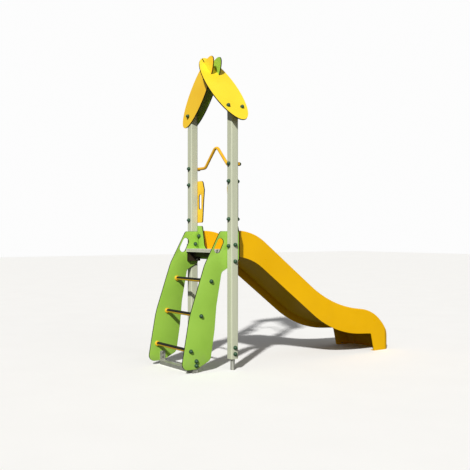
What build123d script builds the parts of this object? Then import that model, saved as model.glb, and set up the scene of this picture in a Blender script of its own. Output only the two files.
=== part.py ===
from build123d import *
import math
import os

# Frame while modelling: X runs from the ladder to the foot of the chute, Y across the posts, Z up from the ground.
# The whole object is moved at the end so that the middle of its underside is the origin.

# ---- sizes, in mm -------------------------------------------------------------------------------------------
deck_height = 1300.0        # ground to deck surface
post_side = 90.0            # square post
post_wall = 3.0
post_corner = 12.0
post_bottom = 121.0         # post stops above the ground, the leg goes on
rear_post_over = 1600.0     # top of the rear post over the deck
groove_width = 7.0
groove_depth = 1.0
groove_place = 21.0         # groove centre from the middle of the face

sheet = 13.0                # thickness of every flat panel
sheet_edge = 1.5            # rounding of panel edges

bolt_dia = 10.0
hole_play = 0.5             # radial play of a bolt in its hole
washer_dia = 24.0
washer_thick = 2.0
head_dia = 17.0
head_high = 6.5
nut_high = 8.0
bolt_past = 2.0             # bolt end past its nut
cap_dia = 44.0
cap_high = 32.0
cap_collar = 10.0
cap_play = 1.5              # space in a cap round a head or a nut

handle_bolt_low = 330.0     # heights over the deck
handle_bolt_high = 740.0
guard_bolt = 930.0
entrance_bolt = 40.0
bolt_cross_gap = 3.0        # between bolts that cross inside a post
bearer_bolt = -126.0        # from the deck surface
foot_bolt_low = 55.0        # over the post's lower end
foot_bolt_high = 123.0

leg_dia = 48.3
leg_wall = 4.0
leg_up = 215.0              # leg inside the post
leg_plate = 8.0
leg_plate_play = 0.4        # round the plate inside the post

rung_count = 3
rung_dia = 38.0
rung_wall = 3.0
rung_boss_dia = 58.0        # collar welded to each end of a rung
rung_boss_long = 20.0
grip_thick = 3.0            # non-slip cover on the upper half of a rung
grip_gap = 4.0              # from the collars
rung_run = 127.8            # step forwards
last_rise_over = 26.7       # the step onto the deck is shorter than the others by this
rung_first = 236.8
rung_first_x = -504.5
insert_long = 40.0
insert_play = 0.1

foot_bar_wide = 66.0
foot_bar_high = 40.0
foot_bar_wall = 3.0
foot_bar_x = -437.0
foot_plate = 6.0
foot_plate_high = 150.0
foot_bolt_a = 82.0
foot_bolt_b = 129.0
ground_hole_dia = 13.0
ground_hole_place = 250.0   # from the middle

deck_front_x = -126.0
deck_plate_thick = 18.0
deck_groove_depth = 1.2
deck_groove_wide = 3.0
deck_groove_pitch = 14.0
nosing_thick = 14.0
nosing_high = 36.0
bearer_wide = 40.0
bearer_below = 16.0         # bearer's underside below its bolt
bearer_wall = 4.0
beam_wide = 40.0
beam_high = 74.0
beams_apart = 4.5           # front beam ahead of the back beam
beam_wall = 3.0
beam_back_gap = 4.0
deck_play = 2.0

entrance_under = 120.0      # below the deck surface
entrance_above = 262.0      # over the deck surface
entrance_over = 8.0         # past the outer face of a post
opening_beside = 73.0       # panel left beside the opening, inside the chute's wall
opening_flare = 40.0
opening_corner = 95.0

handle_reach = 133.0        # inwards from the post face
handle_inside = 20.0        # panel's outer edge inside the post's outer face
handle_over = 45.0          # past the bolt, up and down
handle_slot_long = 175.0
handle_slot_wide = 54.0

guard_dia = 33.7
guard_wall = 2.6
guard_flat_end = 178.0      # straight run from the post's middle inwards
guard_rise = 238.0
guard_bend = 70.0
guard_end = 28.0            # past the post's middle

chute_wide = 700.0
chute_play = 2.0            # between the chute and a ladder panel
chute_rail = 42.0           # width of a hollow side wall
chute_skin = 8.0
chute_front_corner = 120.0
chute_bed_corner = 35.0
chute_rail_round = 14.0
chute_bed_drop = 8.0        # bed under the deck surface at the top
chute_flange_wide = 45.0
chute_bolt_low = 150.0      # across, from the middle
chute_bolt_side = 146.0     # over the deck
anchor_dia = 10.0

roof_slope = 47.0
roof_inside = 5.0           # the tilted leaf's bolt line, inside the outer face of the near post
roof_under = 62.0           # and below the rear post's top
near_post_under = 42.0      # near post's top below that line
tilted_over = 264.0         # tilted leaf, longer than the post spacing
tilted_wide = 414.0
tilted_low = 213.0          # below the bolt line
tilted_bolt_half = 91.0
upright_over = 130.0        # upright leaves, longer than the post spacing
upright_wide = 284.0
upright_lean = 49.4
upright_in = 199.0          # leaf centre inwards from the rear post's middle
upright_up = 185.0          # and over its top
leaf_bolt_under = 57.0      # leaf bolt below the rear post's top
slot_play = 0.5
bracket_thick = 6.0
bracket_wide = 230.0
bracket_deep = 84.0
bracket_screw = 10.0
insert_block = 24.0

# ---- values that follow from them ----------------------------------------------------------------------------
half_post = post_side / 2
post_spacing = chute_wide + 2 * (chute_play + sheet) + post_side     # centre to centre
post_y = post_spacing / 2
rear_post_top = deck_height + rear_post_over
inner_face = post_y - half_post          # inner face of a post
panel_in = inner_face - sheet            # inner face of a ladder panel
bolt_hole = bolt_dia + 2 * hole_play
x_bolt_heights = [deck_height + handle_bolt_low, deck_height + handle_bolt_high]
guard_z = deck_height + guard_bolt
entrance_z = deck_height + entrance_bolt
ladder_bolt_z = entrance_z + bolt_dia + bolt_cross_gap
bearer_z = deck_height + bearer_bolt
chute_start = half_post + sheet
opening_half = chute_wide / 2 - chute_rail - opening_beside
guard_half_flat = post_y - guard_flat_end
entrance_low = deck_height - entrance_under
entrance_top = deck_height + entrance_above
rung_rise = (deck_height + last_rise_over - rung_first) / rung_count
roof_out = post_y + half_post - roof_inside
roof_high = rear_post_top - roof_under
near_post_top = roof_high - near_post_under
tilted_long = post_spacing + tilted_over
upright_long = post_spacing + upright_over
upright_y = post_y - upright_in
upright_z = rear_post_top + upright_up
leaf_bolt_z = rear_post_top - leaf_bolt_under
washer_hole = bolt_dia + 2 * hole_play
sides = (-1, 1)


def rod(dia, a, b):
    """A round bar from point a to point b."""
    a = Vector(*a)
    b = Vector(*b)
    plane = Plane(origin=a, z_dir=(b - a))
    return extrude(plane * Circle(dia / 2), (b - a).length)


def pipe(dia, bore, a, b):
    return rod(dia, a, b) - rod(bore, a, b)


def box(x0, x1, y0, y1, z0, z1):
    return Pos((x0 + x1) / 2, (y0 + y1) / 2, (z0 + z1) / 2) * Box(abs(x1 - x0), abs(y1 - y0), abs(z1 - z0))


def outline_xz(points, radii, y0, y1):
    """A closed outline in X and Z with rounded corners, from y0 to y1."""
    wire = FilletPolyline(*[(x, 0, z) for x, z in points], radius=radii, close=True)
    face = make_face(wire)
    return Pos(0, y0, 0) * extrude(face, amount=y1 - y0, dir=(0, 1, 0))


def outline_yz(points, radii, x0, x1):
    wire = FilletPolyline(*[(0, y, z) for y, z in points], radius=radii, close=True)
    face = make_face(wire)
    return Pos(x0, 0, 0) * extrude(face, amount=x1 - x0, dir=(1, 0, 0))


def soften(solid, size, keep):
    """Rounds the edges that keep() picks."""
    return fillet(solid.edges().filter_by(keep), size)


def soften_sheet_y(solid, y0, y1):
    low = [e for e in solid.edges() if abs(e.center().Y - y0) < 0.01 and e.bounding_box().size.Y < 0.01]
    high = [e for e in solid.edges() if abs(e.center().Y - y1) < 0.01 and e.bounding_box().size.Y < 0.01]
    return chamfer(low + high, sheet_edge * 0.6)


def soften_sheet_x(solid, x0, x1):
    low = [e for e in solid.edges() if abs(e.center().X - x0) < 0.01 and e.bounding_box().size.X < 0.01]
    high = [e for e in solid.edges() if abs(e.center().X - x1) < 0.01 and e.bounding_box().size.X < 0.01]
    return chamfer(low + high, sheet_edge * 0.6)


# ---- fasteners: each joint is one row, and every piece of it follows from the row ------------------------------
bolts = {}
washers = []
nuts = []
caps = []


def hexagon(across, a, b):
    a = Vector(*a)
    b = Vector(*b)
    plane = Plane(origin=a, z_dir=(b - a))
    return extrude(plane * RegularPolygon(across / 2, 6, major_radius=False), (b - a).length)


def dome_cap(at, way):
    """A domed cap that sits on a surface at a point and covers a head or nut."""
    plane = Plane(origin=at, z_dir=way)
    r = cap_dia / 2
    ball = (r * r + (cap_high - cap_collar) ** 2) / (2 * (cap_high - cap_collar))
    body = extrude(Circle(r), cap_high + 1) & (Pos(0, 0, cap_high - ball) * Sphere(ball))
    body = body & extrude(Circle(r + 1), cap_high + 1)
    # the pocket holds the washer, then the head or the nut with the bolt's end
    pocket = extrude(Circle(washer_dia / 2 + 0.6), washer_thick + 0.4)
    deep = washer_thick + nut_high + bolt_past + 0.6
    pocket += extrude(Circle(head_dia / 2 / math.cos(math.pi / 6) + cap_play), deep)
    return plane.location * (body - pocket)


def through_bolt(group, start, end, cap_start=True, cap_end=True):
    """Bolt with head, washers, nut and two caps that clamps everything from start to end."""
    a = Vector(*start)
    b = Vector(*end)
    way = (b - a).normalized()
    shaft = rod(bolt_dia, a - way * washer_thick, b + way * (washer_thick + nut_high + bolt_past))
    head = hexagon(head_dia, a - way * (washer_thick + head_high), a - way * washer_thick)
    bolts.setdefault(group, []).append(shaft + head)
    washers.append(pipe(washer_dia, washer_hole, a - way * washer_thick, a))
    washers.append(pipe(washer_dia, washer_hole, b, b + way * washer_thick))
    nut = hexagon(head_dia, b + way * washer_thick, b + way * (washer_thick + nut_high))
    nuts.append(nut - rod(bolt_dia, b, b + way * 40))
    if cap_start:
        caps.append(dome_cap(a, -way))
    if cap_end:
        caps.append(dome_cap(b, way))


def set_screw(group, start, end, cap=True):
    """Bolt with head and washer that screws into the piece it ends in."""
    a = Vector(*start)
    b = Vector(*end)
    way = (b - a).normalized()
    shaft = rod(bolt_dia, a - way * washer_thick, b)
    head = hexagon(head_dia, a - way * (washer_thick + head_high), a - way * washer_thick)
    bolts.setdefault(group, []).append(shaft + head)
    washers.append(pipe(washer_dia, washer_hole, a - way * washer_thick, a))
    if cap:
        caps.append(dome_cap(a, -way))


# ---- posts ----------------------------------------------------------------------------------------------------
def post(side, top):
    y = side * post_y
    outer = RectangleRounded(post_side, post_side, post_corner)
    grooves = []
    for turn in (0, 90, 180, 270):
        for place in (-groove_place, groove_place):
            grooves.append(Rot(0, 0, turn) * Pos(half_post, place) * Rectangle(2 * groove_depth, groove_width))
    inner = RectangleRounded(post_side - 2 * post_wall, post_side - 2 * post_wall, post_corner - post_wall)
    section = outer - inner
    for g in grooves:
        section -= g
    body = Pos(0, y, post_bottom) * extrude(section, top - post_bottom)
    for z in x_bolt_heights + [guard_z, entrance_z]:
        body -= rod(bolt_hole, (-half_post - 5, y, z), (half_post + 5, y, z))
    for z in (ladder_bolt_z, bearer_z, post_bottom + foot_bolt_low, post_bottom + foot_bolt_high):
        body -= rod(bolt_hole, (0, y - half_post - 5, z), (0, y + half_post + 5, z))
    return body


def rear_post():
    body = post(1, rear_post_top)
    return body - rod(bolt_hole, (-half_post - 5, post_y, leaf_bolt_z), (half_post + 5, post_y, leaf_bolt_z))


def post_foot(side):
    """Round leg with two square plates and two threaded blocks' worth of clearance for the bolts."""
    y = side * post_y
    inside = post_side - 2 * post_wall - 2 * leg_plate_play
    tube = pipe(leg_dia, leg_dia - 2 * leg_wall, (0, y, 0), (0, y, post_bottom + leg_up))
    base = pipe(leg_dia, leg_dia - 2 * leg_wall, (0, y, 0), (0, y, 1))
    plate = RectangleRounded(inside, inside, post_corner - post_wall) - Circle(leg_dia / 2 - leg_wall)
    low = Pos(0, y, post_bottom + 2) * extrude(plate, leg_plate)
    high = Pos(0, y, post_bottom + leg_up - leg_plate) * extrude(plate, leg_plate)
    body = tube + base + low + high
    for z in (foot_bolt_low, foot_bolt_high):
        body -= rod(bolt_hole, (0, y - half_post, post_bottom + z), (0, y + half_post, post_bottom + z))
    return body


def post_cap():
    top = Pos(0, post_y, rear_post_top) * extrude(RectangleRounded(post_side, post_side, post_corner), 5)
    top = fillet(top.edges().filter_by(lambda e: abs(e.center().Z - rear_post_top - 5) < 0.01), 3)
    inside = post_side - 2 * post_wall - 2 * leg_plate_play
    plug = extrude(RectangleRounded(inside, inside, post_corner - post_wall), 18)
    plug -= extrude(RectangleRounded(inside - 6, inside - 6, post_corner - post_wall - 3), 18)
    return top + Pos(0, post_y, rear_post_top - 18) * plug


def post_insert():
    inside = post_side - 2 * post_wall - 2 * leg_plate_play
    block = extrude(RectangleRounded(inside, inside, post_corner - post_wall), insert_block)
    body = Pos(0, -post_y, near_post_top - insert_block) * block
    return body - rod(bolt_dia, (0, -post_y, near_post_top - insert_block), (0, -post_y, near_post_top + 1))


# ---- ladder ---------------------------------------------------------------------------------------------------
ladder_top = deck_height + 200
hand_hole = (-148.0, deck_height + 43)
hand_hole_long = 170.0
hand_hole_wide = 80.0
hand_hole_tilt = 27.0

ladder_outline = [
    (-130, ladder_top),
    (-330, deck_height - 160),
    (-520, 590),
    (-620, 42),
    (-425, 42),
    (-255, 125),
    (-205, 430),
    (-180, 700),
    (-112, deck_height - 242),
    (half_post - 5, deck_height - 161),
    (half_post - 5, ladder_top),
]
ladder_radii = [30, 400, 800, 70, 60, 60, 500, 500, 48, 40, 10]


def rung_at(i):
    return (rung_first_x + i * rung_run, rung_first + i * rung_rise)


def ladder_panel(side):
    y0, y1 = sorted((side * panel_in, side * inner_face))
    body = outline_xz(ladder_outline, ladder_radii, y0, y1)
    slot = Rot(0, 90 + hand_hole_tilt, 0) * Rot(90, 0, 0) * extrude(SlotOverall(hand_hole_long, hand_hole_wide), 200, both=True)
    body -= Pos(hand_hole[0], side * panel_in, hand_hole[1]) * slot
    body = soften_sheet_y(body, y0, y1)
    holes = [rung_at(i) for i in range(rung_count)]
    holes += [(foot_bar_x, foot_bolt_a), (foot_bar_x, foot_bolt_b), (0, ladder_bolt_z), (0, bearer_z)]
    for x, z in holes:
        body -= rod(bolt_hole, (x, y0 - 1, z), (x, y1 + 1, z))
    return body


def rung(i):
    """A tube between the panels with a collar welded to each end."""
    x, z = rung_at(i)
    bore = rung_dia - 2 * rung_wall
    body = rod(rung_dia, (x, -panel_in, z), (x, panel_in, z))
    for side in sides:
        collar = rod(rung_boss_dia, (x, side * panel_in, z), (x, side * (panel_in - rung_boss_long), z))
        inner = [e for e in collar.edges() if abs(e.center().Y - side * (panel_in - rung_boss_long)) < 0.01]
        body += fillet(inner, 5)
    return body - rod(bore, (x, -panel_in - 1, z), (x, panel_in + 1, z))


def rung_grip(i):
    """A half shell that lies on the upper half of a rung, between the collars."""
    x, z = rung_at(i)
    reach = panel_in - rung_boss_long - grip_gap
    shell = pipe(rung_dia + 2 * grip_thick, rung_dia, (x, -reach, z), (x, reach, z))
    return shell - box(x - rung_dia, x + rung_dia, -reach - 1, reach + 1, z - rung_dia, z + 1)


def rung_insert(i, side):
    x, z = rung_at(i)
    plug = rod(rung_dia - 2 * rung_wall - 2 * insert_play, (x, side * panel_in, z), (x, side * (panel_in - insert_long), z))
    return plug - rod(bolt_dia, (x, side * (panel_in + 1), z), (x, side * (panel_in - insert_long - 1), z))


def ladder_foot():
    hw = foot_bar_wide / 2
    reach = panel_in - foot_plate
    bar = box(foot_bar_x - hw, foot_bar_x + hw, -panel_in, panel_in, 0, foot_bar_high)
    bore = box(foot_bar_x - hw + foot_bar_wall, foot_bar_x + hw - foot_bar_wall, -reach, reach,
               foot_bar_wall, foot_bar_high - foot_bar_wall)
    body = bar
    for side in sides:
        y0, y1 = sorted((side * reach, side * panel_in))
        body += box(foot_bar_x - hw, foot_bar_x + hw, y0, y1, 0, foot_plate_high)
    body -= bore
    for side in sides:
        for z in (foot_bolt_a, foot_bolt_b):
            body -= rod(bolt_hole, (foot_bar_x, side * (reach - 1), z), (foot_bar_x, side * (panel_in + 1), z))
        y = side * ground_hole_place
        body -= rod(ground_hole_dia, (foot_bar_x, y, -1), (foot_bar_x, y, foot_bar_high + 1))
    return body


# ---- deck -----------------------------------------------------------------------------------------------------
deck_back_x = half_post - 2
deck_under = deck_height - deck_plate_thick
beam_half = panel_in - bearer_wide


def deck_plate():
    x0 = deck_front_x + nosing_thick
    body = box(x0, deck_back_x, -panel_in + deck_play, panel_in - deck_play, deck_under, deck_height)
    x = x0 + deck_groove_pitch
    while x < deck_back_x - deck_groove_pitch / 2:
        body -= box(x, x + deck_groove_wide, -panel_in, panel_in, deck_height - deck_groove_depth, deck_height + 1)
        x += deck_groove_pitch
    return body


def deck_nosing():
    x0 = deck_front_x
    body = box(x0, x0 + nosing_thick, -panel_in + deck_play, panel_in - deck_play, deck_height - nosing_high, deck_height)
    z = deck_height - 7
    while z > deck_height - nosing_high + 6:
        body -= box(x0 - 1, x0 + 1.5, -panel_in, panel_in, z - 2.5, z)
        z -= 8
    front_top = [e for e in body.edges() if abs(e.center().X - x0) < 0.01 and abs(e.center().Z - deck_height) < 0.01]
    return fillet(front_top, 4)


def deck_bearer(side):
    y0, y1 = sorted((side * beam_half, side * panel_in))
    x0 = deck_front_x + nosing_thick + 2
    z0 = bearer_z - bearer_below
    outer = box(x0, deck_back_x, y0, y1, z0, deck_under)
    inner = box(x0 - 1, deck_back_x + 1, y0 + bearer_wall, y1 - bearer_wall, z0 + bearer_wall, deck_under - bearer_wall)
    body = outer - inner
    body -= rod(bolt_hole, (0, y0 - 1, bearer_z), (0, y1 + 1, bearer_z))
    return body


def deck_beam(back):
    # the back beam leaves room for the bolt heads on the entrance panel
    back_x = half_post - washer_thick - head_high - beam_back_gap
    x0 = back_x - beam_wide if back else back_x - 2 * beam_wide - beams_apart
    outer = box(x0, x0 + beam_wide, -beam_half, beam_half, deck_under - beam_high, deck_under)
    inner = box(x0 + beam_wall, x0 + beam_wide - beam_wall, -beam_half - 1, beam_half + 1,
                deck_under - beam_high + beam_wall, deck_under - beam_wall)
    return outer - inner


# ---- entrance panel, handle panels, guard bar -------------------------------------------------------------------
def entrance_panel():
    out = post_y + half_post + entrance_over
    top_in = opening_half + opening_flare
    points = [
        (-out, entrance_low), (out, entrance_low), (out, entrance_top - 90), (post_y + 20, entrance_top + 4),
        (top_in, entrance_top), (opening_half, deck_height + 90), (opening_half - 8, deck_height - 2),
        (-opening_half + 8, deck_height - 2), (-opening_half, deck_height + 90), (-top_in, entrance_top),
        (-post_y - 20, entrance_top + 4), (-out, entrance_top - 90),
    ]
    radii = [30, 30, 60, 30, 24, 60, opening_corner - 20, opening_corner - 20, 60, 24, 30, 60]
    body = outline_yz(points, radii, half_post, chute_start)
    body = soften_sheet_x(body, half_post, chute_start)
    for side in sides:
        body -= rod(bolt_hole, (half_post - 1, side * post_y, entrance_z), (chute_start + 1, side * post_y, entrance_z))
        for y, z in chute_bolt_places(side):
            body -= rod(bolt_hole, (half_post - 1, y, z), (chute_start + 1, y, z))
    return body


def handle_panel(side):
    z_low = x_bolt_heights[0]
    z_high = x_bolt_heights[1]
    inner = inner_face - handle_reach
    out = post_y + half_post - handle_inside
    points = [
        (side * out, z_low - handle_over + 14), (side * (inner + 38), z_low - handle_over + 16),
        (side * (inner + 20), z_low + 190), (side * inner, z_high - 60), (side * (inner + 34), z_high + handle_over),
        (side * out, z_high + handle_over),
    ]
    radii = [30, 26, 300, 60, 34, 30]
    body = outline_yz(points, radii, half_post, chute_start)
    y = side * (inner_face - 46)
    z = (z_low + z_high) / 2 + 8
    slot = Rot(0, 90, 0) * extrude(SlotOverall(handle_slot_long, handle_slot_wide), 100, both=True)
    body -= Pos(half_post, y, z) * slot
    body = soften_sheet_x(body, half_post, chute_start)
    for z in x_bolt_heights:
        body -= rod(bolt_hole, (half_post - 1, side * post_y, z), (chute_start + 1, side * post_y, z))
    return body


def guard_bar():
    x = half_post + guard_dia / 2
    end = post_y + guard_end
    path = FilletPolyline(
        (x, -end, guard_z), (x, -guard_half_flat, guard_z), (x, 0, guard_z + guard_rise),
        (x, guard_half_flat, guard_z), (x, end, guard_z), radius=[guard_bend, guard_bend * 0.9, guard_bend])
    ring = Circle(guard_dia / 2) - Circle(guard_dia / 2 - guard_wall)
    body = sweep(Plane(origin=(x, -end, guard_z), z_dir=(0, 1, 0)) * ring, path)
    for side in sides:
        y = side * post_y
        # a sleeve across the tube carries the bolt's clamping force
        body += rod(18, (half_post, y, guard_z), (half_post + guard_dia, y, guard_z))
        body -= rod(bolt_hole, (half_post - 1, y, guard_z), (half_post + guard_dia + 1, y, guard_z))
    return body


# ---- chute ----------------------------------------------------------------------------------------------------
def bend_radii(points, tangents):
    """Radius of each bend from the length it takes up on the straight runs beside it."""
    radii = []
    for k, tangent in enumerate(tangents):
        (x0, z0), (x1, z1), (x2, z2) = points[k:k + 3]
        turn = abs(math.atan2(z2 - z1, x2 - x1) - math.atan2(z1 - z0, x1 - x0))
        radii.append(tangent / math.tan(turn / 2))
    return radii


top_points = [(chute_start, deck_height + 209), (333, deck_height + 200), (1506, 606), (2409, 480), (2510, 0)]
top_radii = bend_radii(top_points, [201.3, 411.0, 393.5])
low_points = [(chute_start, deck_height - 78), (290, deck_height - 88), (1546, 258), (2162, 222), (2215, 0)]
low_radii = bend_radii(low_points, [204.6, 426.4, 22.3])
bed_points = [(chute_start, deck_height - chute_bed_drop), (316, deck_height - chute_bed_drop - 6), (1590, 318),
              (2395, 293), (2600, -62)]
bed_radii = bend_radii(bed_points, [200.9, 447.4, 83.5])


def shift_curve(points, radii, d):
    """The same run of lines and arcs, moved sideways by d (to the left of its direction when d is positive)."""
    lines = []
    for (x0, z0), (x1, z1) in zip(points, points[1:]):
        length = math.hypot(x1 - x0, z1 - z0)
        nx, nz = -(z1 - z0) / length, (x1 - x0) / length
        lines.append(((x0 + nx * d, z0 + nz * d), ((x1 - x0) / length, (z1 - z0) / length)))
    moved = [lines[0][0]]
    new_radii = []
    for k in range(len(lines) - 1):
        (px, pz), (ux, uz) = lines[k]
        (qx, qz), (vx, vz) = lines[k + 1]
        cross = ux * vz - uz * vx
        t = ((qx - px) * vz - (qz - pz) * vx) / cross
        moved.append((px + ux * t, pz + uz * t))
        new_radii.append(radii[k] - d if cross > 0 else radii[k] + d)
    length = math.hypot(points[-1][0] - points[-2][0], points[-1][1] - points[-2][1])
    (px, pz), (ux, uz) = lines[-1]
    moved.append((px + ux * length, pz + uz * length))
    return moved, new_radii


def curve_prism(points, radii, closing, y_half, x_from):
    """Solid between -y_half and y_half under or over a curve, closed through the given points."""
    first = (x_from, points[0][1])
    run = [first] + list(points[1:])
    wire = FilletPolyline(*[(x, 0, z) for x, z in run], radius=radii)
    corners = [run[-1]] + closing + [run[0]]
    back = Polyline(*[(x, 0, z) for x, z in corners])
    face = make_face([wire, back])
    return Pos(0, -y_half, 0) * extrude(face, amount=2 * y_half, dir=(0, 1, 0))


def plan_prism(x0, x1, y_half, corner):
    shape = FilletPolyline((x0 - corner, -y_half), (x1, -y_half), (x1, y_half), (x0 - corner, y_half), radius=corner)
    face = make_face([shape, Line((x0 - corner, y_half), (x0 - corner, -y_half))])
    return Pos(0, 0, -200) * extrude(face, 2600)


def chute_bolt_places(side):
    rail = side * (chute_wide / 2 - chute_rail / 2)
    return [(rail, deck_height + chute_bolt_side), (side * chute_bolt_low, deck_height - chute_bed_drop - 50)]


def chute():
    half = chute_wide / 2
    front = top_points[-1][0]
    # outer form: under the rail's top line, over the lower edge
    under_top = curve_prism(top_points, top_radii, [(chute_start, 0)], half, chute_start)
    over_low = curve_prism(low_points, low_radii, [(chute_start, 0)], half + 10, chute_start)
    # the outer upper edges of the rails are rounded before the front corners are cut
    under_top = fillet(long_edges(under_top, low_limit=60), chute_rail_round)
    outer = (under_top - over_low) & plan_prism(chute_start, front, half, chute_front_corner)
    # channel between the rails
    channel = curve_prism(bed_points, bed_radii, [(2600, 2200), (chute_start - 20, 2200)], half - chute_rail, chute_start - 20)
    channel = fillet(long_edges(channel, high_limit=2190), chute_bed_corner)
    # hollow under the bed and inside the rails
    t = chute_skin
    moved_top, moved_radii = shift_curve(top_points, top_radii, -t)
    hollow = curve_prism(moved_top, moved_radii, [(moved_top[-1][0], -50), (chute_start + t, -50)], half - t, chute_start + t)
    hollow &= plan_prism(chute_start, front - t, half - t, chute_front_corner - t)
    moved_bed, moved_bed_radii = shift_curve(bed_points, bed_radii, -t)
    keep = curve_prism(moved_bed, moved_bed_radii, [(2700, 2200), (chute_start - 20, 2200)], half - chute_rail + t,
                       chute_start - 20)
    keep = fillet(long_edges(keep, high_limit=2190), chute_bed_corner + t)
    hollow -= keep
    # the ground flange stays under the hollow at the exit
    flange_x = low_points[-1][0]
    rim = box(flange_x - 60, front + 20, -half, half, -60, t)
    opening = plan_prism(flange_x - 80, front - t - chute_flange_wide, half - t - chute_flange_wide,
                         chute_front_corner - t - chute_flange_wide)
    hollow -= rim - opening
    body = outer - channel - hollow
    body = fillet(inner_rail_edges(body), chute_rail_round - 1)
    for side in sides:
        for y, z in chute_bolt_places(side):
            body -= rod(bolt_hole, (chute_start - 1, y, z), (chute_start + t + 1, y, z))
        for x, y in anchor_places(side):
            body -= rod(anchor_dia + 1, (x, y, -1), (x, y, t + 1))
    return body


def long_edges(solid, low_limit=-100.0, high_limit=3000.0):
    """The long side edges of a prism that was drawn on a curve, without its straight ends and its flat closing faces."""
    edges = []
    for e in solid.edges():
        size = e.bounding_box().size
        mid = e @ 0.5
        if size.Y < 0.01 and size.X > 1 and low_limit < mid.Z < high_limit:
            edges.append(e)
    return edges


def inner_rail_edges(body):
    """Edges along the channel's mouth, where the rails' tops meet their inner faces."""
    run = FilletPolyline(*[(x, 0, z) for x, z in top_points], radius=top_radii)
    inner = chute_wide / 2 - chute_rail
    edges = []
    for e in body.edges():
        size = e.bounding_box().size
        mid = e @ 0.5
        if size.Y < 0.01 and size.X > 1 and abs(abs(mid.Y) - inner) < 0.01:
            if run.distance_to(Vector(mid.X, 0, mid.Z)) < 0.5:
                edges.append(e)
    return edges


def anchor_places(side):
    y = side * (chute_wide / 2 - chute_skin - 26)
    return [(low_points[-1][0] + 80, y)]


def chute_anchor(x, y):
    """Hexagon-headed ground bolt with its washer in one piece, down to the ground plane."""
    t = chute_skin
    body = rod(anchor_dia, (x, y, 0), (x, y, t))
    body += rod(24, (x, y, t), (x, y, t + 2.5))
    body += hexagon(head_dia, (x, y, t + 2.5), (x, y, t + 9))
    return body


# ---- roof -----------------------------------------------------------------------------------------------------
slope = math.radians(roof_slope)
slope_dir = (0, math.cos(slope), math.sin(slope))
slope_out = (0, -math.sin(slope), math.cos(slope))


def roof_plane(lift):
    """Plane of the tilted leaf: x across, local y up the slope, z away from the roof's underside."""
    o = (0, -roof_out + slope_out[1] * lift, roof_high + slope_out[2] * lift)
    return Plane(origin=o, x_dir=(1, 0, 0), z_dir=slope_out)


def slope_point(s, lift):
    return (-roof_out + slope_dir[1] * s + slope_out[1] * lift, roof_high + slope_dir[2] * s + slope_out[2] * lift)


def upright_plain(x0):
    shape = Ellipse(upright_long / 2, upright_wide / 2)
    plane = Plane(origin=(x0, upright_y, upright_z), x_dir=(0, -math.cos(math.radians(upright_lean)),
                  math.sin(math.radians(upright_lean))), z_dir=(1, 0, 0))
    return extrude(plane * shape, sheet)


def crossing():
    """Where the tilted leaf's middle plane enters and leaves the upright leaf: distances up the slope."""
    lean = math.radians(upright_lean)
    ux, uz = -math.cos(lean), math.sin(lean)
    inside = []
    s = 0.0
    while s < tilted_long:
        y, z = slope_point(s, 0)
        dy, dz = y - upright_y, z - upright_z
        along = dy * ux + dz * uz
        across = dy * uz - dz * ux
        if (along / (upright_long / 2)) ** 2 + (across / (upright_wide / 2)) ** 2 < 1:
            inside.append(s)
        s += 0.5
    return inside[0], inside[-1]


cross_low, cross_high = crossing()
cross_mid = (cross_low + cross_high) / 2
leaf_faces = (-half_post - sheet, half_post)


def upright_leaf(x0):
    body = soften_sheet_x(upright_plain(x0), x0, x0 + sheet)
    # slot from the lower edge up to the middle of the crossing, for the tilted leaf
    length = cross_mid - cross_low + 60
    wide = sheet + 2 * slot_play
    tool = roof_plane(0) * Pos(x0 + sheet / 2, cross_mid - length / 2, 0) * Box(sheet + 10, length, wide)
    body -= tool
    y, z = post_y, leaf_bolt_z
    return body - rod(bolt_hole, (x0 - 1, y, z), (x0 + sheet + 1, y, z))


def tilted_leaf():
    middle = tilted_long / 2 - tilted_low
    shape = Ellipse(tilted_wide / 2, tilted_long / 2)
    body = extrude(Pos(0, middle, -sheet / 2) * shape, sheet)
    rims = [e for e in body.edges() if e.bounding_box().size.Z < 0.01]
    body = chamfer(rims, sheet_edge * 0.6)
    for x0 in leaf_faces:
        top = middle + tilted_long / 2 + 20
        wide = sheet + 2 * slot_play
        body -= Pos(x0 + sheet / 2, (cross_mid + top) / 2, 0) * Box(wide, top - cross_mid, sheet + 10)
    for side in sides:
        body -= Pos(side * tilted_bolt_half, 0, 0) * Cylinder(bolt_hole / 2, sheet + 10)
    return roof_plane(0) * body


def roof_bracket():
    """Inclined plate under the leaf, welded to a flat plate on the post's top, with a web between them."""
    plate = roof_plane(-sheet / 2 - bracket_thick) * Pos(0, bracket_deep / 2 - 30, bracket_thick / 2) \
        * Box(bracket_wide, bracket_deep, bracket_thick)
    y0 = -post_y - half_post
    base = box(-half_post, half_post, y0 + 2, y0 + post_side - 2, near_post_top, near_post_top + bracket_thick)
    y_low, z_low = slope_point(-12, -sheet / 2 - bracket_thick / 2)
    y_high, z_high = slope_point(bracket_deep - 36, -sheet / 2 - bracket_thick / 2)
    body = plate + base
    for x in (-half_post + 10, half_post - 10):
        web = make_face(Polyline((x - 3, y_low + 6, near_post_top + 1), (x - 3, y_high, near_post_top + 1),
                                 (x - 3, y_high, z_high), (x - 3, y_low + 6, z_low + 6.4), close=True))
        body += extrude(web, amount=6, dir=(1, 0, 0))
    body -= rod(bolt_hole, (0, -post_y, near_post_top - 1), (0, -post_y, near_post_top + bracket_thick + 1))
    for side in sides:
        tool = roof_plane(0) * Pos(side * tilted_bolt_half, 0, 0) * Cylinder(bolt_hole / 2, 60)
        body -= tool
    return body


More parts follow.
